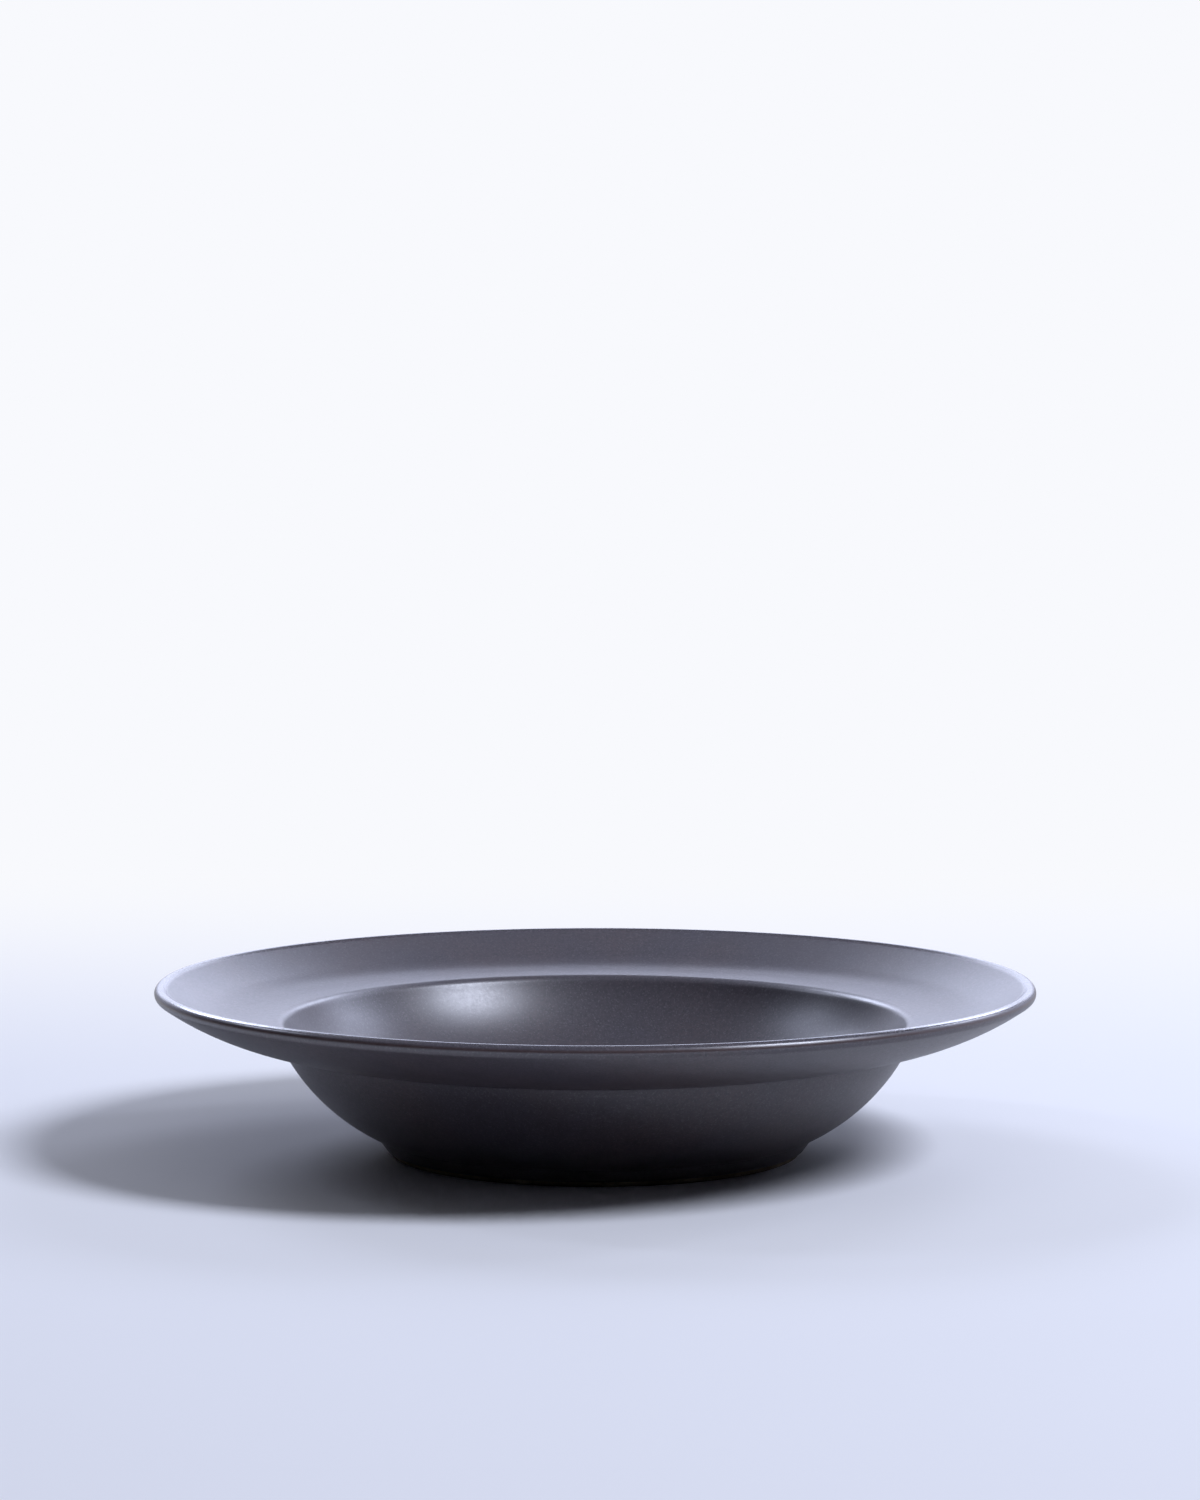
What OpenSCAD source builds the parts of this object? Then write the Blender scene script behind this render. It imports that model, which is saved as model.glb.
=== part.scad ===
// Rimmed pasta bowl in dark satin stoneware: a deep round well, a level ledge round it and a
// wide rim that flares up to a rounded lip. One fired clay body carries two skins of glaze, which
// meet nowhere, because the foot ring between them is wiped dry before the firing.
// Every size is that of the clay; the glaze then adds its own thickness.
// Origin: centre of the face that rests on the table. +Z is up, along the axis of the bowl.

/* [Bowl] */
// Outside diameter over the lip
bowl_d = 279.2; // [250:0.2:310]
// Height of the lip's crest above the table
bowl_h = 54.1; // [46:0.1:64]

/* [Rim] */
// How far the rim reaches out past the crease where it meets the outer wall
rim_w = 39.6; // [34:0.2:46]
// How far the lip's crest lies above that crease
rim_rise = 18.1; // [16:0.1:22]
// Thickness of the rim at its fully rounded lip
lip_t = 3.4; // [2.6:0.1:5]
// Slope of the flare inside the lip, in degrees
flare_slope = 28; // [25:0.5:31]
// Slope of the nearly level ledge round the well, in degrees
ledge_slope = 4; // [1:0.5:7]
// Radius of the hollow curve between the ledge and the flare
flare_r = 31.4; // [10:0.2:45]
// Radius of the long curve under the rim
underside_r = 87.6; // [60:0.2:120]

/* [Shoulder] */
// Radius inside the crease under the rim
crease_r = 1.2; // [0.6:0.1:3]
// How far the edge of the well lies above the crease
shoulder_t = 6.5; // [5:0.1:8]

/* [Well] */
// Rounding of the edge where the ledge drops into the well
edge_r = 3; // [1:0.1:5]
// Radius of the inside curve from the edge down to the flat floor
well_curve_r = 55.4; // [44:0.2:66]
// Thickness of the wall level with the crease, measured straight across
wall_w = 3.3; // [2.8:0.1:7]
// Thickness of the floor inside the foot ring
floor_t = 5.2; // [3.5:0.1:8]

/* [Outer wall] */
// Radius of the outside curve from the foot up to the crease
wall_curve_r = 63.6; // [50:0.2:90]

/* [Foot] */
// Outside diameter of the foot ring on the table
foot_d = 130; // [118:1:144]
// Width of the face that the foot ring rests on
foot_w = 6; // [4:0.1:9]
// Height of the foot where it runs into the wall
foot_h = 6.2; // [4.5:0.1:8]
// How much further out the foot reaches at that height
foot_flare = 4.6; // [1:0.1:8]
// Radius between the foot and the wall
foot_r = 1.2; // [0.6:0.1:3]
// Height of the recess inside the foot ring
recess_h = 3.4; // [2.8:0.1:4.5]
// Lean of the recess wall, in degrees
recess_draft = 15; // [0:1:30]
// Radius between the recess wall and its ceiling
recess_r = 1.6; // [0.8:0.1:2]

/* [Glaze] */
// Thickness of the fired glaze
glaze_t = 0.4; // [0.2:0.05:0.5]
// Height of the dry clay band above the table, on both sides of the foot ring
dry_h = 1.7; // [0.8:0.1:1.8]

/* [Hidden] */
$fn = 240;

clay_colour = "#a3866a";
glaze_colour = "#3d393d";

// Widest gap between a chord and the arc it stands for
chord_gap = 0.01;

// Points, directions and arcs in the section plane, where x is the radius and y the height
function toward(angle) = [cos(angle), sin(angle)];
function bearing(from, to) = atan2(to.y - from.y, to.x - from.x);
function steps(radius, turn) = ceil(turn / (2 * acos(1 - chord_gap / radius)));
function arc(centre, radius, start, end) =
    let (count = steps(radius, abs(end - start)))
    [for (i = [0:count]) centre + radius * toward(start + (end - start) * i / count)];
function reversed(points) = [for (i = [len(points) - 1:-1:0]) points[i]];

// Where two circles cross, to the left of the line from the first centre to the second
function circles_cross(first, first_r, second, second_r) =
    let (
        gap = norm(second - first),
        ahead = (gap * gap + first_r * first_r - second_r * second_r) / (2 * gap),
        aside = sqrt(first_r * first_r - ahead * ahead),
        way = bearing(first, second)
    )
    first + ahead * toward(way) + aside * toward(way + 90);

// Where a line through a point enters a circle, side = -1, or leaves it, side = 1
function line_crosses(point, angle, centre, radius, side) =
    let (
        ahead = (centre - point) * toward(angle),
        near = norm(centre - point - ahead * toward(angle))
    )
    point + (ahead + side * sqrt(radius * radius - near * near)) * toward(angle);

// Where a line through one point crosses a line through another
function lines_cross(point, angle, other, other_angle) =
    point + cross(other - point, toward(other_angle)) / sin(other_angle - angle) * toward(angle);

// Rings that the section passes through
foot_edge = [foot_d / 2, 0];
foot_top = [foot_d / 2 + foot_flare, foot_h];
crease = [bowl_d / 2 - rim_w, bowl_h - rim_rise];
floor_h = recess_h + floor_t;
foot_lean = bearing(foot_edge, foot_top);

// Centres of the outside curves, each tangent to the next
lip_r = lip_t / 2;
lip_c = [bowl_d / 2 - lip_r, bowl_h - lip_r];
wall_c = circles_cross(foot_top, wall_curve_r, crease, wall_curve_r);
under_c = circles_cross(crease, underside_r, lip_c, underside_r - lip_r);
crease_c = circles_cross(under_c, underside_r + crease_r, wall_c, wall_curve_r + crease_r);
foot_c = line_crosses(foot_edge + foot_r * toward(foot_lean - 90), foot_lean,
                      wall_c, wall_curve_r + foot_r, -1);

// How far the inside curve lies from its centre, across, at a height above the table
function well_reach(high) =
    let (down = floor_h + well_curve_r - high) sqrt(well_curve_r * well_curve_r - down * down);

// Centres of the inside curves, and the ring where the ledge would meet the well if it were sharp
well_c = [crease.x - wall_w - well_reach(crease.y), floor_h + well_curve_r];
well_edge = let (high = crease.y + shoulder_t) [well_c.x + well_reach(high), high];
edge_c = line_crosses(well_edge + edge_r * toward(ledge_slope - 90), ledge_slope,
                      well_c, well_curve_r + edge_r, 1);
flare_c = lines_cross(well_edge + flare_r * toward(ledge_slope + 90), ledge_slope,
                      lip_c + (lip_r + flare_r) * toward(flare_slope + 90), flare_slope);

// Curve in the corner of the recess, no larger than the glazed part of its wall has room for
corner_r = min(recess_r, (recess_h - dry_h) / (1 - sin(recess_draft)));
corner_c = let (high = recess_h - corner_r)
    [foot_d / 2 - foot_w - high * tan(recess_draft) - corner_r / cos(recess_draft), high];

// Outer and inner side of the foot ring at a height, grown outwards by a skin
function foot_side(high, skin) = [foot_d / 2 + high / tan(foot_lean) + skin / sin(foot_lean), high];
function recess_side(high, skin) =
    [foot_d / 2 - foot_w - high * tan(recess_draft) - skin / cos(recess_draft), high];

// Upper outline, grown by a skin: from the dry band up the outside, over the lip and down to the
// middle of the well
function bowl_outline(skin) = concat(
    [foot_side(dry_h, skin)],
    arc(foot_c, foot_r - skin, foot_lean + 90, bearing(foot_c, wall_c)),
    arc(wall_c, wall_curve_r + skin, bearing(wall_c, foot_c), bearing(wall_c, crease_c)),
    arc(crease_c, crease_r - skin, bearing(crease_c, wall_c), bearing(crease_c, under_c)),
    arc(under_c, underside_r + skin, bearing(under_c, crease_c), bearing(under_c, lip_c)),
    arc(lip_c, lip_r + skin, bearing(under_c, lip_c), flare_slope + 90),
    arc(flare_c, flare_r - skin, flare_slope - 90, ledge_slope - 90),
    arc(edge_c, edge_r + skin, ledge_slope + 90, bearing(edge_c, well_c)),
    arc(well_c, well_curve_r - skin, bearing(well_c, edge_c), -90),
    [[0, floor_h + skin]]
);

// Lower outline, grown by a skin: from the dry band up into the recess and in to its middle
function recess_outline(skin) = concat(
    [recess_side(dry_h, skin)],
    arc(corner_c, corner_r - skin, recess_draft, 90),
    [[0, recess_h - skin]]
);

// Fired stoneware: foot ring, floor, wall, shoulder, rim and lip in one piece
module clay_body() {
    color(clay_colour)
    rotate_extrude()
    polygon(concat(
        [foot_edge],
        bowl_outline(0),
        reversed(recess_outline(0)),
        [recess_side(0, 0)]
    ));
}

// Glaze over everything that shows from above and from the side, down to the dry band
module glaze_coat() {
    color(glaze_colour)
    rotate_extrude()
    polygon(concat(bowl_outline(glaze_t), reversed(bowl_outline(0))));
}

// Glaze on the underside, in the recess within the foot ring
module base_glaze() {
    color(glaze_colour)
    rotate_extrude()
    polygon(concat(recess_outline(glaze_t), reversed(recess_outline(0))));
}

clay_body();
glaze_coat();
base_glaze();
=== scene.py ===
import math

import bmesh
import bpy
import numpy as np
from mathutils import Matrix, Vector


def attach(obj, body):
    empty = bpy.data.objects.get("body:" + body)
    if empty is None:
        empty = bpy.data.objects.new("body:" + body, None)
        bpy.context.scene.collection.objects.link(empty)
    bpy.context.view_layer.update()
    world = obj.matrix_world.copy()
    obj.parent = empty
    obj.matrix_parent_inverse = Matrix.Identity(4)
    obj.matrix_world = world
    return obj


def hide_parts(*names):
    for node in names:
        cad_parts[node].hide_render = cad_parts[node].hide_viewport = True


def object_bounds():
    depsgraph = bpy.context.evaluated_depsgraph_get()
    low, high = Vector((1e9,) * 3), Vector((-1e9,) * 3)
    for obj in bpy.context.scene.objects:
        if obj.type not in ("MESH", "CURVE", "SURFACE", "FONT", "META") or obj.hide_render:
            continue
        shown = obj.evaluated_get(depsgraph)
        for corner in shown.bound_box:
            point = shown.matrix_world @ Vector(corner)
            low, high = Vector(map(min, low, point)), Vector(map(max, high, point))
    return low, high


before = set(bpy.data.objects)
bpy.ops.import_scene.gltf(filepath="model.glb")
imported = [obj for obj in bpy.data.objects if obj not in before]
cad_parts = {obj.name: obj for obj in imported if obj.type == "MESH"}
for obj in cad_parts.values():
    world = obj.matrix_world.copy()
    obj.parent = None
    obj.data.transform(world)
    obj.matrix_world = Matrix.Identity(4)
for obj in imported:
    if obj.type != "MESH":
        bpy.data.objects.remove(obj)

cad_low, cad_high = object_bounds()

# Sizes of the bowl, in metres. Those of the clay are the same as in the solids, and the box of
# the glaze gives the overall ones.
MM = 0.001
GLAZE_T = 0.4 * MM
BOWL_R = cad_high.x - GLAZE_T
BOWL_H = cad_high.z - GLAZE_T
RIM_W = 39.6 * MM
RIM_RISE = 18.1 * MM
LIP_R = 1.7 * MM
FLARE_SLOPE = math.radians(28)
LEDGE_SLOPE = math.radians(4)
FLARE_R = 31.4 * MM
UNDERSIDE_R = 87.6 * MM
CREASE_R = 1.2 * MM
SHOULDER_T = 6.5 * MM
EDGE_R = 3 * MM
WELL_CURVE_R = 55.4 * MM
WALL_W = 3.3 * MM
FLOOR_T = 5.2 * MM
WALL_CURVE_R = 63.6 * MM
FOOT_R = 65 * MM
FOOT_W = 6 * MM
FOOT_H = 6.2 * MM
FOOT_FLARE = 4.6 * MM
FOOT_BLEND_R = 1.2 * MM
RECESS_H = 3.4 * MM
RECESS_DRAFT = math.radians(15)
RECESS_R = 1.6 * MM
DRY_H = 1.7 * MM

# Meshing of the turned pieces: sectors round the axis, the longest step along an outline and the
# widest turn of one step. Points closer than TINY count as one.
SECTORS = 512
CHORD = 0.9 * MM
TURN = math.radians(7)
TINY = 0.001 * MM

QUARTER = math.pi / 2


# Points, directions and arcs in the section plane, where x is the radius and y the height
def point(x, y):
    return np.array([x, y])


def toward(angle):
    return np.array([math.cos(angle), math.sin(angle)])


def bearing(start, end):
    return math.atan2(end[1] - start[1], end[0] - start[0])


def arc(centre, radius, start, end):
    span = abs(end - start)
    count = max(2, math.ceil(span / min(TURN, CHORD / radius)))
    return [centre + radius * toward(a) for a in np.linspace(start, end, count + 1)]


def straight(start, end):
    count = max(1, math.ceil(np.linalg.norm(end - start) / CHORD))
    return [start + (end - start) * t for t in np.linspace(0, 1, count + 1)]


def circles_cross(first, first_r, second, second_r):
    """Where two circles cross, to the left of the line from the first centre to the second."""
    gap = np.linalg.norm(second - first)
    ahead = (gap**2 + first_r**2 - second_r**2) / (2 * gap)
    aside = math.sqrt(first_r**2 - ahead**2)
    way = bearing(first, second)
    return first + ahead * toward(way) + aside * toward(way + QUARTER)


def line_crosses(start, angle, centre, radius, side):
    """Where a line through a point enters a circle, side -1, or leaves it, side 1."""
    ahead = (centre - start) @ toward(angle)
    near = np.linalg.norm(centre - start - ahead * toward(angle))
    return start + (ahead + side * math.sqrt(radius**2 - near**2)) * toward(angle)


def lines_cross(start, angle, other, other_angle):
    """Where a line through one point crosses a line through another."""
    gap, way = other - start, toward(other_angle)
    along = (gap[0] * way[1] - gap[1] * way[0]) / math.sin(other_angle - angle)
    return start + along * toward(angle)


# Rings that the section passes through
foot_edge = point(FOOT_R, 0)
foot_top = point(FOOT_R + FOOT_FLARE, FOOT_H)
foot_lean = bearing(foot_edge, foot_top)
crease = point(BOWL_R - RIM_W, BOWL_H - RIM_RISE)
floor_h = RECESS_H + FLOOR_T

# Centres of the outside curves, each tangent to the next
lip_c = point(BOWL_R - LIP_R, BOWL_H - LIP_R)
wall_c = circles_cross(foot_top, WALL_CURVE_R, crease, WALL_CURVE_R)
under_c = circles_cross(crease, UNDERSIDE_R, lip_c, UNDERSIDE_R - LIP_R)
crease_c = circles_cross(under_c, UNDERSIDE_R + CREASE_R, wall_c, WALL_CURVE_R + CREASE_R)
foot_c = line_crosses(foot_edge + FOOT_BLEND_R * toward(foot_lean - QUARTER), foot_lean,
                      wall_c, WALL_CURVE_R + FOOT_BLEND_R, -1)


def well_reach(height):
    """How far the inside curve lies from its centre, across, at a height above the table."""
    return math.sqrt(WELL_CURVE_R**2 - (floor_h + WELL_CURVE_R - height)**2)


# Centres of the inside curves, and the ring where the ledge would meet the well if it were sharp
well_c = point(crease[0] - WALL_W - well_reach(crease[1]), floor_h + WELL_CURVE_R)
edge_h = crease[1] + SHOULDER_T
well_edge = point(well_c[0] + well_reach(edge_h), edge_h)
edge_c = line_crosses(well_edge + EDGE_R * toward(LEDGE_SLOPE - QUARTER), LEDGE_SLOPE,
                      well_c, WELL_CURVE_R + EDGE_R, 1)
flare_c = lines_cross(well_edge + FLARE_R * toward(LEDGE_SLOPE + QUARTER), LEDGE_SLOPE,
                      lip_c + (LIP_R + FLARE_R) * toward(FLARE_SLOPE + QUARTER), FLARE_SLOPE)

# Corner of the recess
corner_h = RECESS_H - RECESS_R
corner_c = point(FOOT_R - FOOT_W - corner_h * math.tan(RECESS_DRAFT)
                 - RECESS_R / math.cos(RECESS_DRAFT), corner_h)


def foot_side(height, skin):
    return point(FOOT_R + height / math.tan(foot_lean) + skin / math.sin(foot_lean), height)


def recess_side(height, skin):
    return point(FOOT_R - FOOT_W - height * math.tan(RECESS_DRAFT)
                 - skin / math.cos(RECESS_DRAFT), height)


def joined(*runs):
    """The runs' points in one list, each shared end once."""
    points = []
    for run in runs:
        for p in run:
            if not points or np.linalg.norm(p - points[-1]) > TINY:
                points.append(p)
    return points


def bowl_outline(skin):
    """From the dry band up the outside, over the lip and down to the middle of the well."""
    outside = arc(foot_c, FOOT_BLEND_R - skin, foot_lean + QUARTER, bearing(foot_c, wall_c))
    inside = arc(well_c, WELL_CURVE_R - skin, bearing(well_c, edge_c), -QUARTER)
    return joined(
        straight(foot_side(DRY_H, skin), outside[0]),
        outside,
        arc(wall_c, WALL_CURVE_R + skin, bearing(wall_c, foot_c), bearing(wall_c, crease_c)),
        arc(crease_c, CREASE_R - skin, bearing(crease_c, wall_c), bearing(crease_c, under_c)),
        arc(under_c, UNDERSIDE_R + skin, bearing(under_c, crease_c), bearing(under_c, lip_c)),
        arc(lip_c, LIP_R + skin, bearing(under_c, lip_c), FLARE_SLOPE + QUARTER),
        arc(flare_c, FLARE_R - skin, FLARE_SLOPE - QUARTER, LEDGE_SLOPE - QUARTER),
        arc(edge_c, EDGE_R + skin, LEDGE_SLOPE + QUARTER, bearing(edge_c, well_c)),
        inside,
        straight(inside[-1], point(0, floor_h + skin)),
    )


def recess_outline(skin):
    """From the dry band up into the recess and in to its middle."""
    corner = arc(corner_c, RECESS_R - skin, RECESS_DRAFT, QUARTER)
    return joined(
        straight(recess_side(DRY_H, skin), corner[0]),
        corner,
        straight(corner[-1], point(0, RECESS_H - skin)),
    )


def turned(name, outline):
    """A closed outline turned round the axis. Points on the axis become one vertex each."""
    mesh = bmesh.new()
    angles = [2 * math.pi * i / SECTORS for i in range(SECTORS)]
    rings = []
    for x, y in outline:
        if x < TINY:
            rings.append([mesh.verts.new((0, 0, y))] * SECTORS)
        else:
            rings.append([mesh.verts.new((x * math.cos(a), x * math.sin(a), y)) for a in angles])
    for low, high in zip(rings, rings[1:] + rings[:1]):
        for i in range(SECTORS):
            j = (i + 1) % SECTORS
            corners = [low[i], low[j], high[j], high[i]]
            corners = [v for k, v in enumerate(corners) if v not in corners[:k]]
            if len(corners) > 2:
                mesh.faces.new(corners)
    bmesh.ops.recalc_face_normals(mesh, faces=mesh.faces)
    data = bpy.data.meshes.new(name)
    mesh.to_mesh(data)
    mesh.free()
    data.polygons.foreach_set("use_smooth", [True] * len(data.polygons))
    piece = bpy.data.objects.new(name, data)
    bpy.context.scene.collection.objects.link(piece)
    return piece


# Materials
def rgb(red, green, blue):
    """A linear colour from screen values of 0 to 255."""
    def linear(value):
        value /= 255
        return value / 12.92 if value <= 0.04045 else ((value + 0.055) / 1.055) ** 2.4
    return (linear(red), linear(green), linear(blue), 1.0)


NOISE_ROUGHNESS = 0.55


class Nodes:
    """A material's node tree, with short calls that make and join its nodes."""

    def __init__(self, tree):
        self.tree = tree
        tree.nodes.clear()

    def add(self, kind, values=None, **settings):
        node = self.tree.nodes.new(kind)
        for key, value in settings.items():
            setattr(node, key, value)
        for key, value in (values or {}).items():
            if isinstance(value, bpy.types.NodeSocket):
                self.tree.links.new(value, node.inputs[key])
            else:
                node.inputs[key].default_value = value
        return node

    def math(self, operation, first, second=0.0):
        return self.add("ShaderNodeMath", {0: first, 1: second}, operation=operation).outputs[0]

    def mapped(self, value, low, high, to_low, to_high, smooth=True):
        node = self.add("ShaderNodeMapRange", {
            "Value": value, "From Min": low, "From Max": high, "To Min": to_low, "To Max": to_high,
        }, interpolation_type="SMOOTHSTEP" if smooth else "LINEAR")
        return node.outputs["Result"]

    def place(self):
        """The position on the object, in metres."""
        return self.add("ShaderNodeTexCoord").outputs["Object"]

    def noise(self, where, scale, detail):
        node = self.add("ShaderNodeTexNoise", {
            "Vector": where, "Scale": scale, "Detail": detail, "Roughness": NOISE_ROUGHNESS,
        })
        return node.outputs["Fac"]

    def patches(self, where, scale, detail, low, high, to_low, to_high):
        """Noise that rises or falls smoothly between two of its values."""
        return self.mapped(self.noise(where, scale, detail), low, high, to_low, to_high)

    def mix(self, factor, first, second):
        # Of this node's many sockets, inputs 6 and 7 and output 2 are those for colours
        node = self.add("ShaderNodeMix", {0: factor, 6: first, 7: second}, data_type="RGBA")
        return node.outputs[2]

    def bump(self, height, strength, distance, normal=None):
        values = {"Height": height, "Strength": strength, "Distance": distance}
        if normal is not None:
            values["Normal"] = normal
        return self.add("ShaderNodeBump", values).outputs["Normal"]


def paper_rays(nodes):
    """Two factors: 1 for rays that come from the camera, and 1 for those mirrored to it."""
    path = nodes.add("ShaderNodeLightPath").outputs
    mirrored = nodes.math("MAXIMUM", path["Is Glossy Ray"], path["Is Transmission Ray"])
    first = nodes.math("LESS_THAN", path["Diffuse Depth"], 0.5)
    return path["Is Camera Ray"], nodes.math("MULTIPLY", mirrored, first)


def new_material(name):
    material = bpy.data.materials.new(name)
    material.use_nodes = True
    return material, Nodes(material.node_tree)


def place_nodes(nodes):
    """The position on the object, the radius from the axis and the height, in metres."""
    where = nodes.place()
    split = nodes.add("ShaderNodeSeparateXYZ", {0: where})
    x, y, z = split.outputs
    radius = nodes.math("SQRT", nodes.math("ADD", nodes.math("MULTIPLY", x, x),
                                           nodes.math("MULTIPLY", y, y)))
    return where, radius, z


GLAZE = (0.037, 0.027, 0.036, 1.0)
GLAZE_BROWN = (0.044, 0.029, 0.034, 1.0)
GLAZE_COOL = (0.033, 0.027, 0.039, 1.0)
GLAZE_BREAK = (0.040, 0.016, 0.013, 1.0)
GLAZE_DEEP = (0.020, 0.015, 0.021, 1.0)
SPECK = (0.13, 0.115, 0.13, 1.0)
PIT = (0.010, 0.008, 0.008, 1.0)
GLAZE_IOR = 1.8

# Patches of noise: scale per metre, detail, the two values between which the noise takes effect,
# and the effect at each of them
CLOUDS = (22.0, 4.0, 0.35, 0.65, 0.0, 1.0)
MOTTLE = (850.0, 2.0, 0.36, 0.62, 0.0, 0.75)
SPECKLE = (1700.0, 1.0, 0.53, 0.72, 0.0, 0.45)
PITS = (1100.0, 1.0, 0.30, 0.40, 0.6, 0.0)

# Noise that shapes the surface: scale per metre and detail, then strength and depth of its bump
WAVES = (95.0, 2.0)
WAVE_BUMP = (0.25, 0.2 * MM)
GRAIN = (900.0, 3.0)
GRAIN_BUMP = (0.2, 0.03 * MM)

# Two values of a grain and the roughness at each
GRAIN_VALUES = (0.3, 0.7)
GLAZE_ROUGHNESS = (0.36, 0.41)

# Line where the glaze breaks at the lip, from the centre of the lip's rounding: its height, the
# distances off that height over which it fades, the distances outwards over which it comes in,
# and its strength
BREAK_HEIGHT = 0.5 * MM
BREAK_FADE = (0.1 * MM, 0.7 * MM)
BREAK_OUT = (1.2 * MM, 1.8 * MM)
BREAK_STRENGTH = 0.75

# Heights over the same centre between which the lip's crest gets smoother, and how much smoother
CREST_RISE = (0.9 * MM, 1.7 * MM)
CREST_SMOOTHER = 0.15


def satin_glaze():
    material, nodes = new_material("satin_glaze")
    where, radius, height = place_nodes(nodes)

    # Broad clouds between a warmer and a cooler charcoal, and a fine deep mottle
    colour = nodes.mix(nodes.patches(where, *CLOUDS), GLAZE_COOL, GLAZE_BROWN)
    colour = nodes.mix(nodes.patches(where, *MOTTLE), colour, GLAZE_DEEP)

    # Fine pale crystals and darker pits
    colour = nodes.mix(nodes.patches(where, *SPECKLE), colour, SPECK)
    colour = nodes.mix(nodes.patches(where, *PITS), colour, PIT)

    # The glaze runs thin just above the lip's equator and shows the clay's iron there
    off_line = nodes.math("ABSOLUTE", nodes.math("SUBTRACT", height, lip_c[1] + BREAK_HEIGHT))
    band = nodes.mapped(off_line, *BREAK_FADE, 1.0, 0.0)
    outer = nodes.mapped(radius, *(lip_c[0] + out for out in BREAK_OUT), 0.0, 1.0)
    thin = nodes.math("MULTIPLY", nodes.math("MULTIPLY", band, outer), BREAK_STRENGTH)
    colour = nodes.mix(thin, colour, GLAZE_BREAK)

    grain = nodes.noise(where, *GRAIN)
    roughness = nodes.mapped(grain, *GRAIN_VALUES, *GLAZE_ROUGHNESS, smooth=False)
    crest = nodes.mapped(height, *(lip_c[1] + up for up in CREST_RISE), 0.0, CREST_SMOOTHER)
    roughness = nodes.math("SUBTRACT", roughness, crest)
    normal = nodes.bump(nodes.noise(where, *WAVES), *WAVE_BUMP)
    normal = nodes.bump(grain, *GRAIN_BUMP, normal)
    shader = nodes.add("ShaderNodeBsdfPrincipled", {
        "Base Color": colour, "Roughness": roughness, "Normal": normal, "IOR": GLAZE_IOR,
    })
    nodes.add("ShaderNodeOutputMaterial", {"Surface": shader.outputs[0]})
    return material


CLAY_LIGHT = (0.36, 0.30, 0.215, 1.0)
CLAY_DARK = (0.22, 0.18, 0.13, 1.0)
CLAY_GRIT = (0.07, 0.045, 0.03, 1.0)
CLAY_IOR = 1.45
CLAY_ROUGHNESS = (0.78, 0.92)

# As for the glaze: patches of light and dark, and the grit with its effect on the colour
CLAY_CLOUDS = (60.0, 3.0, 0.35, 0.65, 0.0, 1.0)
GRIT = (1400.0, 4.0)
GRIT_EFFECT = (0.58, 0.7, 0.0, 0.6)
GRIT_BUMP = (0.6, 0.08 * MM)


def bare_clay():
    material, nodes = new_material("bare_stoneware")
    where = nodes.place()
    grit = nodes.noise(where, *GRIT)
    colour = nodes.mix(nodes.patches(where, *CLAY_CLOUDS), CLAY_DARK, CLAY_LIGHT)
    colour = nodes.mix(nodes.mapped(grit, *GRIT_EFFECT), colour, CLAY_GRIT)
    normal = nodes.bump(grit, *GRIT_BUMP)
    roughness = nodes.mapped(grit, *GRAIN_VALUES, *CLAY_ROUGHNESS, smooth=False)
    shader = nodes.add("ShaderNodeBsdfPrincipled", {
        "Base Color": colour, "Roughness": roughness, "Normal": normal, "IOR": CLAY_IOR,
    })
    nodes.add("ShaderNodeOutputMaterial", {"Surface": shader.outputs[0]})
    return material


# The three pieces
def dress(piece, material, node):
    piece.data.materials.append(material)
    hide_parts(node)
    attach(piece, "root")


glaze = satin_glaze()
clay = bare_clay()

clay_outline = joined([recess_side(0, 0), foot_edge], bowl_outline(0), recess_outline(0)[::-1])
dress(turned("clay_body_fired", clay_outline), clay, "clay_body")
dress(turned("glaze_coat_satin", bowl_outline(GLAZE_T) + bowl_outline(0)[::-1]),
      glaze, "glaze_coat")
dress(turned("base_glaze_satin", recess_outline(GLAZE_T) + recess_outline(0)[::-1]),
      glaze, "base_glaze")

# Table
TABLE_NEAR = (0.82, 0.82, 0.83, 1.0)
BACKDROP = rgb(248, 249, 253)
TABLE_ROUGHNESS = 0.5
TABLE_SIZE = 30.0
TABLE_CELLS = 8

# In view and in mirrored rays, the table turns into paper between these two distances behind the
# bowl's axis, in metres
FADE = (0.04, 0.80)

# In view it also does so between these two distances from the axis, all round, because the lamps
# light it less and less out there
FAR_FADE = (0.7, 1.8)


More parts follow.
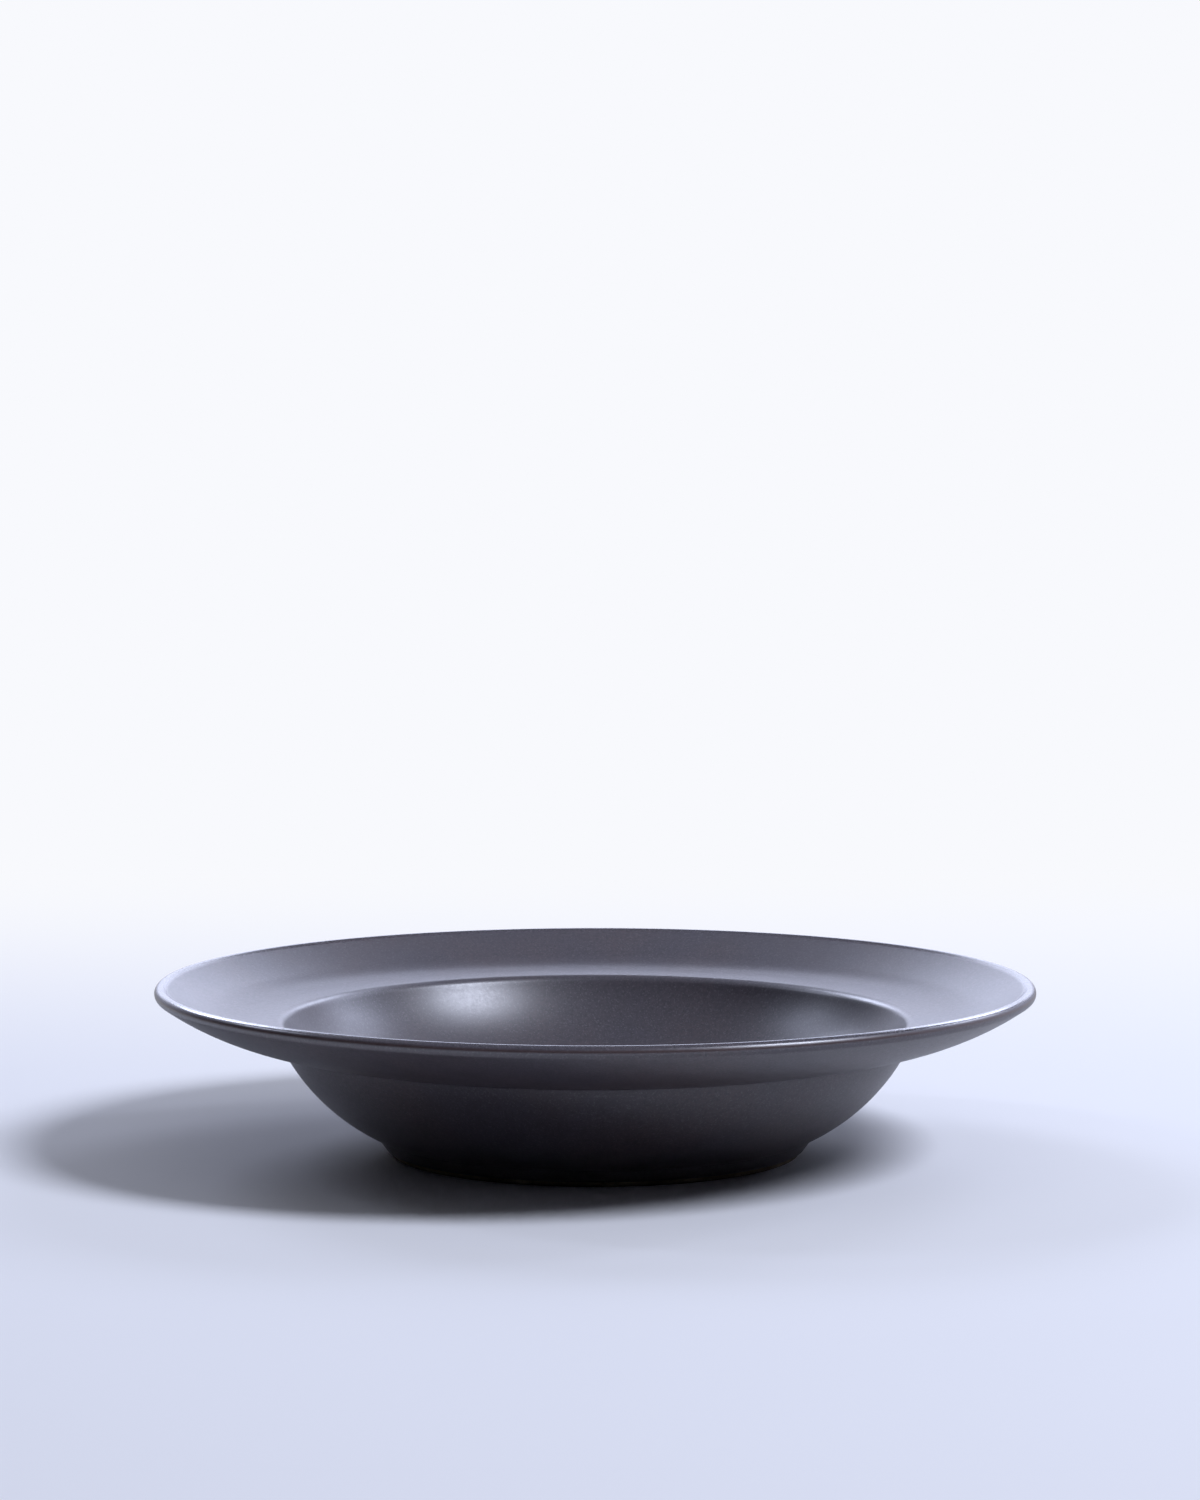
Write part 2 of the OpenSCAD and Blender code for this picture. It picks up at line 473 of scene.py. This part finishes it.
def table():
    mesh = bmesh.new()
    bmesh.ops.create_grid(mesh, x_segments=TABLE_CELLS, y_segments=TABLE_CELLS,
                          size=TABLE_SIZE / 2)
    data = bpy.data.meshes.new("table")
    mesh.to_mesh(data)
    mesh.free()
    floor = bpy.data.objects.new("table", data)
    bpy.context.scene.collection.objects.link(floor)
    material, nodes = new_material("table")
    where = nodes.place()
    behind = nodes.add("ShaderNodeSeparateXYZ", {0: where}).outputs[1]
    fade = nodes.mapped(behind, *FADE, 0.0, 1.0)
    shader = nodes.add("ShaderNodeBsdfDiffuse", {
        "Color": TABLE_NEAR, "Roughness": TABLE_ROUGHNESS,
    })
    glow = nodes.add("ShaderNodeEmission", {"Color": BACKDROP, "Strength": 1.0})
    distance = nodes.add("ShaderNodeVectorMath", {0: where}, operation="LENGTH").outputs["Value"]
    far = nodes.mapped(distance, *FAR_FADE, 0.0, 1.0)
    in_view, mirrored = paper_rays(nodes)
    backdrop = nodes.math("MULTIPLY", fade, nodes.math("MAXIMUM", in_view, mirrored))
    mixed = nodes.add("ShaderNodeMixShader", {
        0: nodes.math("MAXIMUM", backdrop, nodes.math("MULTIPLY", far, in_view)),
        1: shader.outputs[0], 2: glow.outputs[0],
    })
    nodes.add("ShaderNodeOutputMaterial", {"Surface": mixed.outputs[0]})
    data.materials.append(material)


table()


# Lights. Azimuth 0 is to the right of the bowl and 90 behind it, in degrees.
KEY_TINT = (0.78, 0.83, 1.0)
BACK_TINT = (0.72, 0.78, 1.0)
FILL_TINT = (0.87, 0.89, 1.0)

# Name, azimuth, elevation, distance, width and height in metres, level, tint, and whether the
# glaze shows it
LAMPS = (
    ("key", -28, 46, 2.2, 0.68, 0.76, 0.86, KEY_TINT, True),
    ("strip", 32, 29, 2.0, 0.30, 0.70, 0.18, BACK_TINT, True),
    ("back_right", 62, 32, 2.5, 0.90, 0.70, 0.26, BACK_TINT, True),
    ("back_left", 120, 32, 2.5, 0.90, 0.70, 0.38, BACK_TINT, True),
    ("back_mid", 90, 24, 2.5, 2.40, 0.50, 0.125, BACK_TINT, True),
    ("horizon", 90, 12, 2.5, 2.40, 0.50, 0.09, BACK_TINT, True),
    ("low_fill", 108, 14, 2.5, 1.20, 0.50, 0.17, FILL_TINT, False),
    ("left_strip", 157, 38, 2.5, 0.18, 0.60, 0.10, BACK_TINT, True),
)


def direction(azimuth, elevation):
    a, e = math.radians(azimuth), math.radians(elevation)
    return Vector((math.cos(a) * math.cos(e), math.sin(a) * math.cos(e), math.sin(e)))


def soft_lamp(name, azimuth, elevation, distance, width, height, level, tint, shows):
    """An oval lamp aimed at the bowl, lighting a white surface that faces it to this level."""
    light = bpy.data.lights.new(name, "AREA")
    light.shape = "ELLIPSE"
    light.size, light.size_y = width, height
    light.energy = level * (math.pi * distance) ** 2
    light.color = tint
    lamp = bpy.data.objects.new(name, light)
    bpy.context.scene.collection.objects.link(lamp)
    way = direction(azimuth, elevation)
    lamp.location = way * distance
    lamp.rotation_euler = way.to_track_quat("Z", "Y").to_euler()
    lamp.visible_camera = False
    lamp.visible_glossy = shows


for lamp_values in LAMPS:
    soft_lamp(*lamp_values)

# World: paper in view, weak light from overhead, and in the glaze the pale sweep low behind and
# to the right, the dimmer room in front and the ceiling
GLOSS_TINT = (0.75, 0.78, 1.0)

# Side of a zone: its azimuth in degrees and the two cosines between which it comes in
SWEEP_SIDE = (67, 0.20, 0.55)
ROOM_SIDE = (285, 0.10, 0.50)

# Rise of a zone: two sines of the elevation, and the level at each
SWEEP_RISE = (0.40, 0.66, 1.0, 0.0)
ROOM_RISE = (0.35, 0.50, 0.0, 0.36)
OVERHEAD_RISE = (0.50, 0.90, 0.0, 0.32)
CEILING_RISE = (0.55, 0.85, 0.0, 0.63)

world = bpy.data.worlds.new("studio")
bpy.context.scene.world = world
world.use_nodes = True
sky = Nodes(world.node_tree)
way = sky.add("ShaderNodeTexCoord").outputs["Generated"]
rise = sky.add("ShaderNodeSeparateXYZ", {0: way}).outputs[2]


def facing(azimuth, none_at, all_at):
    """How far a ray heads towards an azimuth, as a share between two cosines."""
    along = sky.add("ShaderNodeVectorMath", {0: way, 1: direction(azimuth, 0)},
                    operation="DOT_PRODUCT")
    return sky.mapped(along.outputs["Value"], none_at, all_at, 0.0, 1.0)


sweep = sky.math("MULTIPLY", facing(*SWEEP_SIDE), sky.mapped(rise, *SWEEP_RISE))
room = sky.math("MULTIPLY", facing(*ROOM_SIDE), sky.mapped(rise, *ROOM_RISE))
overhead = sky.mapped(rise, *OVERHEAD_RISE)
ceiling = sky.mapped(rise, *CEILING_RISE)
fill = sky.add("ShaderNodeBackground", {"Color": (*FILL_TINT, 1.0), "Strength": overhead})
gloss = sky.add("ShaderNodeBackground", {
    "Color": (*GLOSS_TINT, 1.0),
    "Strength": sky.math("MAXIMUM", sky.math("ADD", sweep, room), ceiling),
})
paper = sky.add("ShaderNodeBackground", {"Color": BACKDROP, "Strength": 1.0})
in_view, mirrored = paper_rays(sky)
lit = sky.add("ShaderNodeMixShader", {0: mirrored, 1: fill.outputs[0], 2: gloss.outputs[0]})
sky_mix = sky.add("ShaderNodeMixShader", {0: in_view, 1: lit.outputs[0], 2: paper.outputs[0]})
sky.add("ShaderNodeOutputWorld", {"Surface": sky_mix.outputs[0]})

# Camera: its place in metres, how far it looks down in degrees, lens and sensor in millimetres,
# and how far it sees in metres
CAMERA_PLACE = (0.0015, -1.4236, 0.2480)
CAMERA_DIP = 4.80
LENS = 108
SENSOR = 36
SIGHT = 100

camera_data = bpy.data.cameras.new("camera")
camera_data.lens = LENS
camera_data.sensor_width = SENSOR
camera = bpy.data.objects.new("camera", camera_data)
camera.location = CAMERA_PLACE
camera.rotation_euler = (math.radians(90 - CAMERA_DIP), 0.0, 0.0)
camera_data.clip_end = SIGHT
bpy.context.scene.collection.objects.link(camera)
bpy.context.scene.camera = camera
bpy.context.scene.view_settings.view_transform = "Standard"
